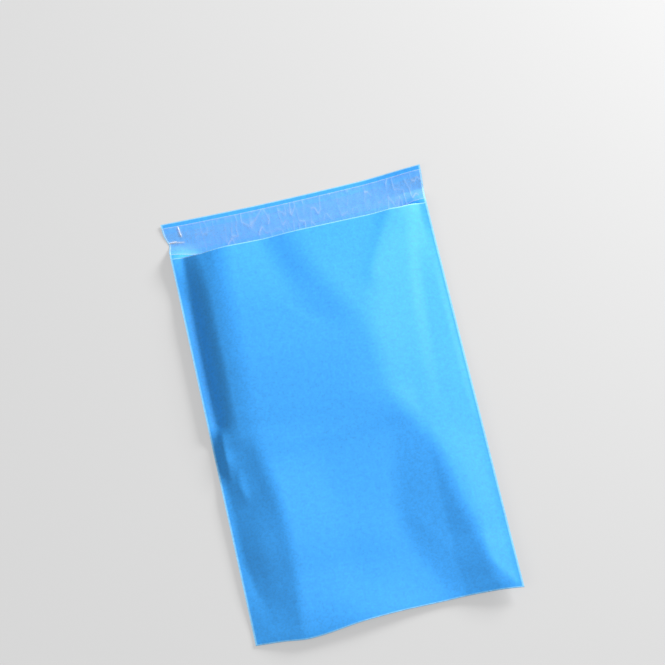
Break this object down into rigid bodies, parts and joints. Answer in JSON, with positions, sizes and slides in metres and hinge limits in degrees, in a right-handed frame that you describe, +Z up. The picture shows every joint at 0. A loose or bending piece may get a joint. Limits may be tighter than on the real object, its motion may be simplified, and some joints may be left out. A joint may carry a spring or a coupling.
{
  "type": "poly mailer bag",
  "caption": "Flat polyethylene mailing bag lying on its back, mouth slightly open, with a closing flap that carries an adhesive strip under a clear release liner.",
  "frame": {"origin": "middle of the bag's width and overall length, on the plane that the back panel lies on", "axes": "+X across the bag, +Y from the bottom fold to the closing flap, +Z up from the back panel to the front panel"},
  "size_m": [0.28, 0.4653, 0.0307],
  "materials": {
    "blue_film": "satin",
    "hot_melt_adhesive": "gloss",
    "clear_liner": "gloss"
  },
  "bodies": {
    "root": {"film_bag": "blue_film", "adhesive_strip": "hot_melt_adhesive", "release_liner": "clear_liner"}
  },
  "joints": []
}
